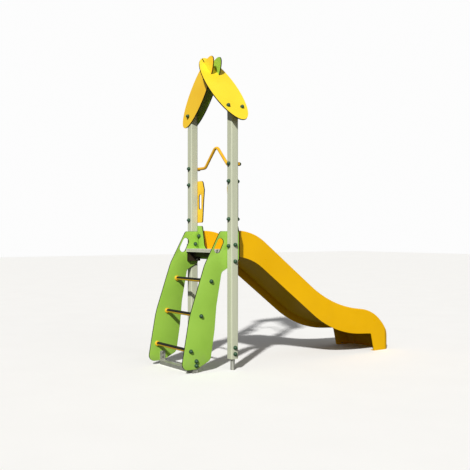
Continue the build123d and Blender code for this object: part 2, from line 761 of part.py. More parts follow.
# ---- all joints -------------------------------------------------------------------------------------------------
def make_joints():
    x_in = -half_post
    for side in sides:
        y = side * post_y
        for z in x_bolt_heights + [entrance_z]:
            through_bolt("panel_bolts", (x_in, y, z), (chute_start, y, z))
        through_bolt("guard_bar_bolts", (x_in, y, guard_z), (half_post + guard_dia, y, guard_z))
        out = side * (post_y + half_post)
        through_bolt("ladder_panel_bolts", (0, out, ladder_bolt_z), (0, side * panel_in, ladder_bolt_z))
        through_bolt("deck_bearer_bolts", (0, out, bearer_z), (0, side * beam_half, bearer_z), cap_end=False)
        for dz in (foot_bolt_low, foot_bolt_high):
            z = post_bottom + dz
            through_bolt("post_foot_bolts", (0, out, z), (0, side * inner_face, z))
        for i in range(rung_count):
            x, z = rung_at(i)
            set_screw("rung_bolts", (x, side * inner_face, z), (x, side * (panel_in - 25), z))
        for z in (foot_bolt_a, foot_bolt_b):
            through_bolt("ladder_foot_bolts", (foot_bar_x, side * inner_face, z),
                         (foot_bar_x, side * (panel_in - foot_plate), z), cap_end=False)
        for y, z in chute_bolt_places(side):
            if z < deck_height:
                continue
            through_bolt("chute_bolts", (half_post, y, z), (chute_start + chute_skin, y, z), cap_end=False)
        y, z = chute_bolt_places(side)[1]
        through_bolt("chute_bolts_low", (half_post, y, z), (chute_start + chute_skin, y, z), False, False)
    through_bolt("leaf_bolt", (-half_post - sheet, post_y, leaf_bolt_z), (half_post + sheet, post_y, leaf_bolt_z))
    for side in sides:
        x = side * tilted_bolt_half
        ya, za = slope_point(0, sheet / 2)
        yb, zb = slope_point(0, -sheet / 2 - bracket_thick)
        through_bolt("tilted_leaf_bolts", (x, ya, za), (x, yb, zb), cap_end=False)
    z = near_post_top + bracket_thick
    set_screw("bracket_bolt", (0, -post_y, z), (0, -post_y, near_post_top - insert_block), cap=False)


def main():
    make_joints()
    nodes = {
        "post_near": [post(-1, near_post_top)],
        "post_rear": [rear_post()],
        "post_foot_near": [post_foot(-1)],
        "post_foot_rear": [post_foot(1)],
        "post_cap_rear": [post_cap()],
        "post_insert_near": [post_insert()],
        "ladder_panel_near": [ladder_panel(-1)],
        "ladder_panel_far": [ladder_panel(1)],
        "ladder_foot": [ladder_foot()],
        "deck_plate": [deck_plate()],
        "deck_nosing": [deck_nosing()],
        "deck_bearer_near": [deck_bearer(-1)],
        "deck_bearer_far": [deck_bearer(1)],
        "deck_beam_front": [deck_beam(False)],
        "deck_beam_back": [deck_beam(True)],
        "entrance_panel": [entrance_panel()],
        "handle_panel_near": [handle_panel(-1)],
        "handle_panel_rear": [handle_panel(1)],
        "guard_bar": [guard_bar()],
        "slide_chute": [chute()],
        "roof_leaf_tilted": [tilted_leaf()],
        "roof_leaf_left": [upright_leaf(leaf_faces[0])],
        "roof_leaf_right": [upright_leaf(leaf_faces[1])],
        "roof_bracket": [roof_bracket()],
        "chute_anchors": [chute_anchor(x, y) for side in sides for x, y in anchor_places(side)],
        "washers": washers,
        "nuts": nuts,
        "bolt_caps": caps,
    }
    for i in range(rung_count):
        nodes["rung_%d" % (i + 1)] = [rung(i)]
    nodes["rung_grips"] = [rung_grip(i) for i in range(rung_count)]
    nodes["rung_inserts"] = [rung_insert(i, side) for i in range(rung_count) for side in sides]
    for name, shapes in bolts.items():
        nodes[name] = shapes
    boxes = [s.bounding_box() for shapes in nodes.values() for s in shapes]
    low = [min(b.min.X for b in boxes), min(b.min.Y for b in boxes), min(b.min.Z for b in boxes)]
    high = [max(b.max.X for b in boxes), max(b.max.Y for b in boxes)]
    move = Pos(-(low[0] + high[0]) / 2, -(low[1] + high[1]) / 2, -low[2])
    print("moved by", [round(v, 2) for v in (move.position.X, move.position.Y, move.position.Z)])
    os.makedirs("parts", exist_ok=True)
    for name, shapes in nodes.items():
        solids = []
        for s in shapes:
            found = s.solids()
            if len(found) != 1:
                print("NOTE", name, "has", len(found), "solids in one piece")
            solids += [move * f for f in found]
        export_step(Compound(children=solids) if len(solids) > 1 else solids[0], "parts/%s.step" % name)
        print(name, len(solids), round(sum(f.volume for f in solids) / 1000, 1), "cm3")


main()
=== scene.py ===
import math

import bmesh
import bpy
from mathutils import Matrix, Vector


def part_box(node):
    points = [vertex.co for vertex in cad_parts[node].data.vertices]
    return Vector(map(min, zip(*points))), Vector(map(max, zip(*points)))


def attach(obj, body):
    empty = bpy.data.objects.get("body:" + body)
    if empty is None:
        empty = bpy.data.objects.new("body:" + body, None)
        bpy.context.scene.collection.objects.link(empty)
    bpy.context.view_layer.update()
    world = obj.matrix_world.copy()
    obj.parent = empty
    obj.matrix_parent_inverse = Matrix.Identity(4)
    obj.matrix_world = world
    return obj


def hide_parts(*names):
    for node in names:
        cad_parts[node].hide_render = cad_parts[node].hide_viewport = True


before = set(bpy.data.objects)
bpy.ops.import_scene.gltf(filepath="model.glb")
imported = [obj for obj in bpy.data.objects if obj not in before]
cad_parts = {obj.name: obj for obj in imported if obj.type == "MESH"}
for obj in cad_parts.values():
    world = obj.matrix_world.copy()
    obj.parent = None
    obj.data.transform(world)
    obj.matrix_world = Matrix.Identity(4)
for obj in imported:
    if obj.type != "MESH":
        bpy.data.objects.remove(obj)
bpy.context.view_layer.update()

# ---- the frame of the drawing: mm, from the middle between the two posts, at the ground ---------------
MM = 0.001
TINY = 0.00001
near_low, near_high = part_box("post_near")
rear_low, rear_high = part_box("post_rear")
middle_x = (near_low.x + near_high.x) / 2
middle_y = (near_low.y + rear_high.y) / 2

POST_HALF = 45.0
POST_Y = 410.0
POST_INNER = POST_Y - POST_HALF
SHEET = 13.0
PANEL_INNER = POST_INNER - SHEET
DECK = 1300.0
SIDES = (-1, 1)

# heights and places of the bolt rows
HANDLE_BOLTS = (DECK + 330, DECK + 740)
GUARD_BOLT = DECK + 930
ENTRANCE_BOLT = DECK + 40
LADDER_BOLT = ENTRANCE_BOLT + 13
BEARER_BOLT = DECK - 126
POST_FOOT_BOLTS = (176, 244)
LADDER_FOOT_X = -437
LADDER_FOOT_BOLTS = (82, 129)
CHUTE_BOLT_Y = 329
CHUTE_BOLT = DECK + 146
LEAF_BOLT = DECK + 1543
ROOF_SLOPE = math.radians(47)
ROOF_BOLT_LINE = (-450, DECK + 1538)
ROOF_BOLTS_APART = 91

# tubes
GUARD_DIA = 33.7
GUARD_RISE = 238
GUARD_END = 28
GUARD_FLAT_END = 178
RUNG_COUNT = 3
RUNG_DIA = 38
RUNG_FIRST = (-504.5, 236.8)
RUNG_STEP = (127.8, 363.3)
COLLAR_PROFILE = [
    (18.5, 0), (29, 0), (29, 15), (28.5, 17.5), (27, 19.2), (24.5, 20), (22.2, 20), (21.4, 20.6),
    (20.6, 21.6), (19.6, 23.2), (18.5, 23.4),
]
GRIP_DIA = 44
GRIP_GROOVED_DIA = 42.4
GRIP_END_GAP = 24
GRIP_ABOVE_AXIS = 1
CAP_PROFILE = [
    (0, 0), (22.0, 0), (22.0, 8.6), (21.6, 9.4), (20.7, 9.7), (20.5, 10.4), (20.3, 13.2), (19.2, 17.6),
    (17.0, 22.0), (13.9, 26.0), (10.2, 29.2), (6.4, 31.2), (3.6, 31.9), (2.8, 31.6), (0, 31.5),
]


def at(x, y, z):
    """A point of the drawing as a point of the frame."""
    return Vector((middle_x + x * MM, middle_y + y * MM, z * MM))


# ---- materials ----------------------------------------------------------------------------------------
def tone(code):
    """A colour written as six hex digits, as the linear colour the shader wants."""
    channels = [int(code[i:i + 2], 16) / 255 for i in (0, 2, 4)]
    linear = [c / 12.92 if c <= 0.04045 else ((c + 0.055) / 1.055) ** 2.4 for c in channels]
    return (*linear, 1.0)


class Finish:
    """A material under construction: its nodes, and short ways to add noise, mixes and bumps."""

    def __init__(self, name, roughness=0.5, metallic=0.0):
        self.material = bpy.data.materials.new(name)
        self.material.use_nodes = True
        self.nodes = self.material.node_tree.nodes
        self.links = self.material.node_tree.links
        self.shader = self.nodes["Principled BSDF"]
        self.shader.inputs["Roughness"].default_value = roughness
        self.shader.inputs["Metallic"].default_value = metallic
        self.place = self.nodes.new("ShaderNodeTexCoord").outputs["Object"]

    def stretched(self, scale, turn=(0, 0, 0)):
        """Object coordinates stretched by scale, for grain that runs one way."""
        mapping = self.nodes.new("ShaderNodeMapping")
        mapping.inputs["Scale"].default_value = scale
        mapping.inputs["Rotation"].default_value = turn
        self.links.new(self.place, mapping.inputs["Vector"])
        return mapping.outputs["Vector"]

    def noise(self, scale, detail=4.0, rough=0.5, where=None):
        node = self.nodes.new("ShaderNodeTexNoise")
        node.inputs["Scale"].default_value = scale
        node.inputs["Detail"].default_value = detail
        node.inputs["Roughness"].default_value = rough
        self.links.new(where or self.place, node.inputs["Vector"])
        return node.outputs["Fac"]

    def cells(self, scale, where=None):
        node = self.nodes.new("ShaderNodeTexVoronoi")
        node.inputs["Scale"].default_value = scale
        self.links.new(where or self.place, node.inputs["Vector"])
        return node.outputs["Color"]

    def band(self, value, low, high, out_low=0.0, out_high=1.0):
        """Value from low..high spread over out_low..out_high, and held outside it."""
        node = self.nodes.new("ShaderNodeMapRange")
        node.inputs["From Min"].default_value = low
        node.inputs["From Max"].default_value = high
        node.inputs["To Min"].default_value = out_low
        node.inputs["To Max"].default_value = out_high
        self.links.new(value, node.inputs["Value"])
        return node.outputs["Result"]

    def mix(self, share, first, second):
        """Colour between first and second; each is a colour or a socket."""
        node = self.nodes.new("ShaderNodeMix")
        node.data_type = "RGBA"
        self.links.new(share, node.inputs["Factor"])
        for value, socket in ((first, node.inputs["A"]), (second, node.inputs["B"])):
            if isinstance(value, tuple):
                socket.default_value = value
            else:
                self.links.new(value, socket)
        return node.outputs["Result"]

    def times(self, a, b):
        node = self.nodes.new("ShaderNodeMath")
        node.operation = "MULTIPLY"
        self.links.new(a, node.inputs[0])
        if isinstance(b, float):
            node.inputs[1].default_value = b
        else:
            self.links.new(b, node.inputs[1])
        return node.outputs["Value"]

    def height_above_ground(self):
        split = self.nodes.new("ShaderNodeSeparateXYZ")
        self.links.new(self.place, split.inputs["Vector"])
        return split.outputs["Z"]

    def colour(self, socket):
        self.links.new(socket, self.shader.inputs["Base Color"])

    def roughness(self, socket):
        self.links.new(socket, self.shader.inputs["Roughness"])

    def bump(self, layers):
        """Bumps one on the other; each layer is (height socket, strength, depth in metres)."""
        normal = None
        for height, strength, depth in layers:
            node = self.nodes.new("ShaderNodeBump")
            node.inputs["Strength"].default_value = strength
            node.inputs["Distance"].default_value = depth
            self.links.new(height, node.inputs["Height"])
            if normal is not None:
                self.links.new(normal, node.inputs["Normal"])
            normal = node.outputs["Normal"]
        self.links.new(normal, self.shader.inputs["Normal"])


def laminate(name, main, shade):
    """Satin faced sheet: fine pressed grain, faint cloudiness, a few soft scuffs, dust near the ground."""
    f = Finish(name, roughness=0.36)
    clouds = f.band(f.noise(3.0, 3.0), 0.35, 0.65)
    colour = f.mix(clouds, tone(main), tone(shade))
    scuffs = f.band(f.noise(9.0, 8.0, 0.75), 0.66, 0.78, 0.0, 0.10)
    colour = f.mix(scuffs, colour, (0.75, 0.75, 0.68, 1.0))
    low_down = f.band(f.height_above_ground(), 0.0, 0.28, 0.30, 0.0)
    dust = f.times(low_down, f.band(f.noise(14.0, 6.0), 0.35, 0.7))
    colour = f.mix(dust, colour, (0.34, 0.31, 0.24, 1.0))
    f.colour(colour)
    f.roughness(f.band(f.noise(22.0, 5.0), 0.3, 0.7, 0.32, 0.42))
    f.bump([(f.noise(700.0, 2.0), 0.10, 0.0004), (f.noise(2.2, 2.0), 0.06, 0.004)])
    return f.material


def laminate_edge(name):
    """Machined edge of the sheet: nearly black core with fine layers."""
    f = Finish(name, roughness=0.55)
    layers = f.noise(60.0, 4.0, 0.6)
    f.colour(f.mix(f.band(layers, 0.35, 0.65), tone("0D0E09"), tone("1A1A12")))
    f.bump([(f.noise(900.0, 3.0), 0.2, 0.0003)])
    f.shader.inputs["Specular IOR Level"].default_value = 0.2
    return f.material


def coated_aluminium(name):
    """Pale grey powder coat with a fine orange peel and a little splashed dirt low down."""
    f = Finish(name, roughness=0.46)
    streaks = f.noise(5.0, 4.0, 0.6, f.stretched((6.0, 6.0, 0.5)))
    colour = f.mix(f.band(streaks, 0.35, 0.7), tone("C4C8B0"), tone("BEC2AB"))
    low_down = f.band(f.height_above_ground(), 0.1, 0.55, 0.35, 0.0)
    dirt = f.times(low_down, f.band(f.noise(26.0, 8.0, 0.7), 0.42, 0.7))
    colour = f.mix(dirt, colour, (0.30, 0.27, 0.20, 1.0))
    f.colour(colour)
    f.roughness(f.band(f.noise(35.0, 4.0), 0.3, 0.7, 0.42, 0.52))
    f.bump([(f.noise(420.0, 2.0), 0.12, 0.0004)])
    return f.material


def coated_tube(name):
    """Golden powder coat on steel tube, smoother where hands and feet rub it."""
    f = Finish(name, roughness=0.33)
    rubbed = f.band(f.noise(7.0, 6.0, 0.65), 0.40, 0.68)
    f.colour(f.mix(rubbed, tone("EFB828"), tone("E2A820")))
    f.roughness(f.band(f.noise(12.0, 5.0), 0.3, 0.7, 0.26, 0.42))
    f.bump([(f.noise(520.0, 2.0), 0.14, 0.0003)])
    return f.material


def moulded_chute(name):
    """Moulded polyethylene: even colour with slight flow clouds, a waxy gloss and long slide scuffs."""
    f = Finish(name, roughness=0.34)
    clouds = f.band(f.noise(1.7, 4.0, 0.6), 0.3, 0.7)
    colour = f.mix(clouds, tone("F4BC06"), tone("EBB304"))
    speck = f.band(f.noise(260.0, 2.0), 0.66, 0.75, 0.0, 0.16)
    colour = f.mix(speck, colour, tone("D99A04"))
    long_marks = f.noise(7.0, 8.0, 0.7, f.stretched((0.7, 9.0, 0.7)))
    f.colour(f.mix(f.band(long_marks, 0.62, 0.74, 0.0, 0.20), colour, tone("F8CB40")))
    f.roughness(f.band(long_marks, 0.35, 0.7, 0.27, 0.42))
    f.bump([(f.noise(2.6, 3.0), 0.10, 0.006), (f.noise(330.0, 2.0), 0.08, 0.0004)])
    f.shader.inputs["Specular IOR Level"].default_value = 0.28
    return f.material


def moulded_cap(name, main, shade):
    """Dark nylon moulding with a fine spark texture."""
    f = Finish(name, roughness=0.48)
    f.colour(f.mix(f.band(f.noise(40.0, 5.0), 0.35, 0.65), tone(main), tone(shade)))
    f.bump([(f.noise(1100.0, 2.0), 0.25, 0.0003)])
    return f.material


def galvanised(name):
    """Hot-dip zinc: spangled grey plates, dull white bloom and slight runs."""
    f = Finish(name, roughness=0.5, metallic=0.75)
    spangle = f.cells(55.0)
    grey = f.mix(spangle, tone("B9BAB2"), tone("D6D6CC"))
    bloom = f.band(f.noise(11.0, 7.0, 0.7), 0.45, 0.7, 0.0, 0.55)
    f.colour(f.mix(bloom, grey, tone("C8C6B8")))
    f.roughness(f.band(f.noise(30.0, 5.0), 0.3, 0.7, 0.40, 0.62))
    f.bump([(f.noise(75.0, 3.0), 0.12, 0.0008)])
    return f.material


def zinc_plate(name):
    """Bright zinc on bolts, nuts and washers."""
    f = Finish(name, roughness=0.34, metallic=0.9)
    f.colour(f.mix(f.noise(120.0, 4.0), tone("AEB0AE"), tone("D0D0CA")))
    f.bump([(f.noise(600.0, 3.0), 0.08, 0.0002)])
    return f.material


def ribbed_aluminium(name):
    """Drawn aluminium of the deck, with fine lines along the ribs and grey wear between them."""
    f = Finish(name, roughness=0.45, metallic=0.2)
    lines = f.noise(30.0, 6.0, 0.7, f.stretched((30.0, 0.8, 30.0)))
    worn = f.band(f.noise(9.0, 6.0, 0.7), 0.4, 0.7)
    f.colour(f.mix(worn, f.mix(lines, tone("CFD0C0"), tone("E2E3D4")), tone("C4C4B2")))
    f.roughness(f.band(lines, 0.3, 0.7, 0.34, 0.52))
    f.bump([(lines, 0.12, 0.0004)])
    return f.material


def painted_shade_frame(name):
    """Dark brown powder coat of the deck's frame, a painted shade for the frame that stands in the deck's
    shadow; its tone varies at random.
    """
    f = Finish(name, roughness=0.5)
    f.colour(f.mix(f.band(f.noise(18.0, 6.0, 0.65), 0.38, 0.68), tone("2B2114"), tone("3A2E1E")))
    f.roughness(f.band(f.noise(30.0, 4.0), 0.3, 0.7, 0.44, 0.6))
    f.bump([(f.noise(450.0, 2.0), 0.14, 0.0003)])
    return f.material


def rubber(name):
    """Black non-slip rubber, matt, with grey dust in its grain."""
    f = Finish(name, roughness=0.72)
    f.colour(f.mix(f.band(f.noise(60.0, 6.0, 0.7), 0.5, 0.75), tone("17160F"), tone("2E2C25")))
    f.roughness(f.band(f.noise(45.0, 4.0), 0.3, 0.7, 0.62, 0.82))
    f.bump([(f.noise(1300.0, 2.0), 0.4, 0.0004)])
    return f.material


def plain_floor(name):
    """Pale to the eye; it throws little light back, so that undersides stay in shade."""
    f = Finish(name, roughness=0.75)
    pale = f.mix(f.noise(1.5, 3.0), (0.95, 0.95, 0.95, 1.0), (0.99, 0.99, 0.99, 1.0))
    ray = f.nodes.new("ShaderNodeLightPath").outputs["Is Camera Ray"]
    f.colour(f.mix(ray, (0.10, 0.11, 0.09, 1.0), pale))
    f.shader.inputs["Specular IOR Level"].default_value = 0.1
    return f.material


green_sheet = laminate("green_sheet", "9CC84C", "94C146")
golden_sheet = laminate("golden_sheet", "FDCF34", "F7C62C")
lemon_sheet = laminate("lemon_sheet", "F9DA32", "F4D22B")
sheet_core = laminate_edge("sheet_core")
post_coat = coated_aluminium("post_coat")
tube_coat = coated_tube("tube_coat")
chute_plastic = moulded_chute("chute_plastic")
cap_plastic = moulded_cap("cap_plastic", "26472F", "2C5036")
black_plastic = moulded_cap("black_plastic", "24261F", "2E302A")
leg_zinc = galvanised("leg_zinc")
bolt_zinc = zinc_plate("bolt_zinc")
deck_metal = ribbed_aluminium("deck_metal")
# painted shade: the deck's frame is coloured dark brown like the shade under the deck
frame_coat_painted_shade = painted_shade_frame("frame_coat_painted_shade")
grip_rubber = rubber("grip_rubber")


# ---- making and finishing a piece ---------------------------------------------------------------------
def sharpen(bm, angle):
    """Smooth shading everywhere but over edges that turn by more than the angle."""
    limit = math.radians(angle)
    for face in bm.faces:
        face.smooth = True
    for edge in bm.edges:
        edge.smooth = len(edge.link_faces) == 2 and edge.calc_face_angle(0.0) < limit


def place_piece(bm, name, materials, nodes=(), angle=32):
    sharpen(bm, angle)
    mesh = bpy.data.meshes.new(name)
    bm.to_mesh(mesh)
    bm.free()
    for material in materials:
        mesh.materials.append(material)
    piece = bpy.data.objects.new(name, mesh)
    bpy.context.scene.collection.objects.link(piece)
    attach(piece, "root")
    if nodes:
        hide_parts(*nodes)
    return piece


def merged_copy(node):
    """The CAD node's surface as one joined mesh."""
    bm = bmesh.new()
    bm.from_mesh(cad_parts[node].data)
    bmesh.ops.remove_doubles(bm, verts=bm.verts[:], dist=TINY)
    return bm


# ---- flat panels --------------------------------------------------------------------------------------
def corner_offset(before, corner, after, radius):
    """How far from the corner an arc of that radius starts."""
    a = (Vector(before) - Vector(corner)).normalized()
    b = (Vector(after) - Vector(corner)).normalized()
    return radius / math.tan(a.angle(b) / 2)


def rounded_outline(bm, corners, radii, steps=14):
    """A flat closed outline from a few corners, each rounded by a vertex bevel."""
    points = [(u * MM, v * MM) for u, v in corners]
    verts = [bm.verts.new((u, v, 0)) for u, v in points]
    bm.faces.new(verts)
    for i, vert in enumerate(verts):
        offset = corner_offset(points[i - 1], points[i], points[(i + 1) % len(points)], radii[i] * MM)
        bmesh.ops.bevel(bm, geom=[vert], offset=offset, offset_type="OFFSET", segments=steps, profile=0.5,
                        affect="VERTICES", material=-1)
    bmesh.ops.delete(bm, geom=bm.faces[:], context="FACES_ONLY")


def slot_outline(bm, centre, length, width, tilt=0.0, steps=48):
    """A long hole: a circle pulled apart, then turned and moved to its place."""
    made = bmesh.ops.create_circle(bm, cap_ends=False, radius=width / 2 * MM, segments=steps,
                                   matrix=Matrix.Rotation(math.pi / steps, 4, "Z"))["verts"]
    pull = (length - width) / 2 * MM
    bmesh.ops.translate(bm, verts=[v for v in made if v.co.y > 0], vec=(0, pull, 0))
    bmesh.ops.translate(bm, verts=[v for v in made if v.co.y < 0], vec=(0, -pull, 0))
    turn = Matrix.Rotation(math.radians(tilt), 4, "Z")
    move = Matrix.Translation((centre[0] * MM, centre[1] * MM, 0))
    bmesh.ops.transform(bm, matrix=move @ turn, verts=made)


def fill_and_thicken(bm, round_edge=1.6):
    """Fills the outlines, gives the sheet its thickness and rounds its rims; the core has the second slot."""
    bmesh.ops.triangle_fill(bm, use_beauty=True, use_dissolve=False, edges=bm.edges[:], normal=(0, 0, 1))
    top = bmesh.ops.extrude_face_region(bm, geom=bm.faces[:])["geom"]
    moved = [g for g in top if isinstance(g, bmesh.types.BMVert)]
    bmesh.ops.translate(bm, verts=moved, vec=(0, 0, SHEET * MM))
    bmesh.ops.recalc_face_normals(bm, faces=bm.faces[:])
    rims = []
    for edge in bm.edges:
        if len(edge.link_faces) == 2:
            flat = [abs(f.normal.z) > 0.9 for f in edge.link_faces]
            if flat[0] != flat[1]:
                rims.append(edge)
    bmesh.ops.bevel(bm, geom=rims, offset=round_edge * MM, offset_type="OFFSET", segments=3, profile=0.5,
                    affect="EDGES", material=-1)
    for face in bm.faces:
        face.material_index = 0 if abs(face.normal.z) > 0.999 else 1


def stand_xz(bm, y):
    """Turns a flat sheet so that it stands along X, its thickness running from y towards +Y."""
    turn = Matrix(((1, 0, 0, middle_x), (0, 0, 1, middle_y + y * MM), (0, 1, 0, 0), (0, 0, 0, 1)))
    bmesh.ops.transform(bm, matrix=turn, verts=bm.verts[:])
    bmesh.ops.recalc_face_normals(bm, faces=bm.faces[:])


def stand_yz(bm, x):
    """Turns a flat sheet so that it stands across the posts, its thickness running from x towards +X."""
    turn = Matrix(((0, 0, 1, middle_x + x * MM), (1, 0, 0, middle_y), (0, 1, 0, 0), (0, 0, 0, 1)))
    bmesh.ops.transform(bm, matrix=turn, verts=bm.verts[:])
    bmesh.ops.recalc_face_normals(bm, faces=bm.faces[:])


# ---- ladder -------------------------------------------------------------------------------------------
LADDER_TOP = DECK + 200
HAND_HOLE = (-148.0, DECK + 43)
LADDER_CORNERS = [
    (-130, LADDER_TOP), (-330, DECK - 160), (-520, 590), (-620, 42), (-425, 42), (-255, 125), (-205, 430),
    (-180, 700), (-112, DECK - 242), (POST_HALF - 5, DECK - 161), (POST_HALF - 5, LADDER_TOP),
]
LADDER_RADII = [30, 400, 800, 72, 60, 60, 500, 500, 48, 40, 10]


def ladder_panel(side):
    bm = bmesh.new()
    rounded_outline(bm, LADDER_CORNERS, LADDER_RADII)
    slot_outline(bm, HAND_HOLE, 170, 80, tilt=-27)
    fill_and_thicken(bm)
    stand_xz(bm, min(side * POST_INNER, side * PANEL_INNER))
    name = "ladder_panel_near" if side < 0 else "ladder_panel_far"
    place_piece(bm, name + "_sheet", [green_sheet, sheet_core], [name])


for side in SIDES:
    ladder_panel(side)


# ---- entrance panel and handle panels -----------------------------------------------------------------
def entrance_panel():
    out = POST_Y + POST_HALF + 8
    half = [
        (out, 1180), (out, 1472), (POST_Y + 20, 1566), (275, 1562), (235, DECK + 90), (227, DECK - 2),
    ]
    radii = [30, 60, 30, 24, 60, 75]
    bm = bmesh.new()
    corners = half + [(-y, z) for y, z in reversed(half)]
    rounded_outline(bm, corners, radii + radii[::-1])
    fill_and_thicken(bm)
    stand_yz(bm, POST_HALF)
    place_piece(bm, "entrance_panel_sheet", [green_sheet, sheet_core], ["entrance_panel"])


def handle_panel(side):
    inner = POST_INNER - 133
    out = POST_Y + POST_HALF - 20
    corners = [
        (out, 1599), (inner + 38, 1601), (inner + 20, 1820), (inner, 1980), (inner + 34, 2085), (out, 2085),
    ]
    bm = bmesh.new()
    rounded_outline(bm, [(side * y, z) for y, z in corners], [30, 26, 300, 60, 34, 30])
    slot_outline(bm, (side * (POST_INNER - 46), 1843), 175, 54)
    fill_and_thicken(bm)
    stand_yz(bm, POST_HALF)
    name = "handle_panel_near" if side < 0 else "handle_panel_rear"
    place_piece(bm, name + "_sheet", [golden_sheet, sheet_core], [name])


entrance_panel()
for side in SIDES:
    handle_panel(side)


# ---- roof ---------------------------------------------------------------------------------------------
def shade_leaf(node, name, sheet):
    """The leaf as cut, slots included, with its rims in the core's colour."""
    bm = merged_copy(node)
    axis = max((f for f in bm.faces), key=lambda f: f.calc_area()).normal.copy()
    for face in bm.faces:
        face.material_index = 0 if abs(face.normal.dot(axis)) > 0.999 else 1
    place_piece(bm, name, [sheet, sheet_core], [node])


shade_leaf("roof_leaf_tilted", "roof_leaf_tilted_sheet", lemon_sheet)
shade_leaf("roof_leaf_left", "roof_leaf_left_sheet", golden_sheet)
shade_leaf("roof_leaf_right", "roof_leaf_right_sheet", green_sheet)


# ---- tubes --------------------------------------------------------------------------------------------
def frame_to(start, direction):
    """Matrix that puts a flat ring at start, facing along direction."""
    return Matrix.Translation(start) @ direction.to_track_quat("Z", "Y").to_matrix().to_4x4()


def bent_tube(points, bends, diameter, sides=40):
    """A closed tube: a ring is extruded along the straight runs and spun round the bends between them."""
    bm = bmesh.new()
    heading = (points[1] - points[0]).normalized()
    made = bmesh.ops.create_circle(bm, cap_ends=False, radius=diameter / 2, segments=sides,
                                   matrix=frame_to(points[0], heading))["verts"]
    ring = list({e for v in made for e in v.link_edges})
    here = points[0].copy()
    for k in range(1, len(points)):
        last = k == len(points) - 1
        target = points[k].copy()
        if not last:
            after = (points[k + 1] - points[k]).normalized()
            turn = heading.angle(after)
            target -= heading * (bends[k - 1] * math.tan(turn / 2))
        made = bmesh.ops.extrude_edge_only(bm, edges=ring)["geom"]
        moved = [g for g in made if isinstance(g, bmesh.types.BMVert)]
        bmesh.ops.translate(bm, verts=moved, vec=target - here)
        ring = [g for g in made if isinstance(g, bmesh.types.BMEdge) and all(v in moved for v in g.verts)]
        here = target
        if last:
            break
        axis = heading.cross(after).normalized()
        centre = here + axis.cross(heading) * bends[k - 1]
        made = bmesh.ops.spin(bm, geom=ring, cent=centre, axis=axis, dvec=(0, 0, 0), angle=turn, steps=14,
                              use_merge=False, use_duplicate=False)["geom_last"]
        ring = [g for g in made if isinstance(g, bmesh.types.BMEdge)]
        here = centre - axis.cross(after) * bends[k - 1]
        heading = after
    bmesh.ops.holes_fill(bm, edges=[e for e in bm.edges if e.is_boundary], sides=0)
    bmesh.ops.recalc_face_normals(bm, faces=bm.faces[:])
    ends = [e for e in bm.edges if max(len(f.verts) for f in e.link_faces) > 4]
    bmesh.ops.bevel(bm, geom=ends, offset=0.0015, offset_type="OFFSET", segments=3, profile=0.5,
                    affect="EDGES", material=-1)
    return bm


def guard_bar():
    x = POST_HALF + GUARD_DIA / 2
    end = POST_Y + GUARD_END
    flat = POST_Y - GUARD_FLAT_END
    points = [
        at(x, -end, GUARD_BOLT), at(x, -flat, GUARD_BOLT), at(x, 0, GUARD_BOLT + GUARD_RISE),
        at(x, flat, GUARD_BOLT), at(x, end, GUARD_BOLT),
    ]
    bm = bent_tube(points, [0.070, 0.063, 0.070], GUARD_DIA * MM)
    place_piece(bm, "guard_bar_tube", [tube_coat], ["guard_bar"])


def rung_place(i):
    """Where the axis of rung i stands: along X and above the ground."""
    return RUNG_FIRST[0] + RUNG_STEP[0] * i, RUNG_FIRST[1] + RUNG_STEP[1] * i


def add_form(bm, part):
    """Puts a finished form into a larger mesh."""
    form = bpy.data.meshes.new("form")
    part.to_mesh(form)
    part.free()
    bm.from_mesh(form)
    bpy.data.meshes.remove(form)


def add_spun(bm, profile, steps, matrix):
    """Spins a run of (radius, height) points in mm into a closed body and puts it in place."""
    part = bmesh.new()
    verts = [part.verts.new((r * MM, 0, h * MM)) for r, h in profile]
    edges = [part.edges.new(pair) for pair in zip(verts, verts[1:])]
    bmesh.ops.spin(part, geom=verts + edges, cent=(0, 0, 0), axis=(0, 0, 1), dvec=(0, 0, 0),
                   angle=2 * math.pi, steps=steps, use_merge=True, use_duplicate=False)
    bmesh.ops.remove_doubles(part, verts=part.verts[:], dist=TINY)
    bmesh.ops.holes_fill(part, edges=[e for e in part.edges if e.is_boundary], sides=0)
    bmesh.ops.recalc_face_normals(part, faces=part.faces[:])
    bmesh.ops.transform(part, matrix=matrix, verts=part.verts[:])
    add_form(bm, part)


def rung_tube(i):
    """The tube with a collar at each end: a rounded disc, and the weld bead where it meets the tube."""
    x, z = rung_place(i)
    bm = bent_tube([at(x, -PANEL_INNER, z), at(x, PANEL_INNER, z)], [], RUNG_DIA * MM)
    for side in SIDES:
        add_spun(bm, COLLAR_PROFILE, 48, frame_to(at(x, side * PANEL_INNER, z), Vector((0, -side, 0))))
    place_piece(bm, "rung_%d_tube" % (i + 1), [tube_coat], ["rung_%d" % (i + 1)], angle=40)


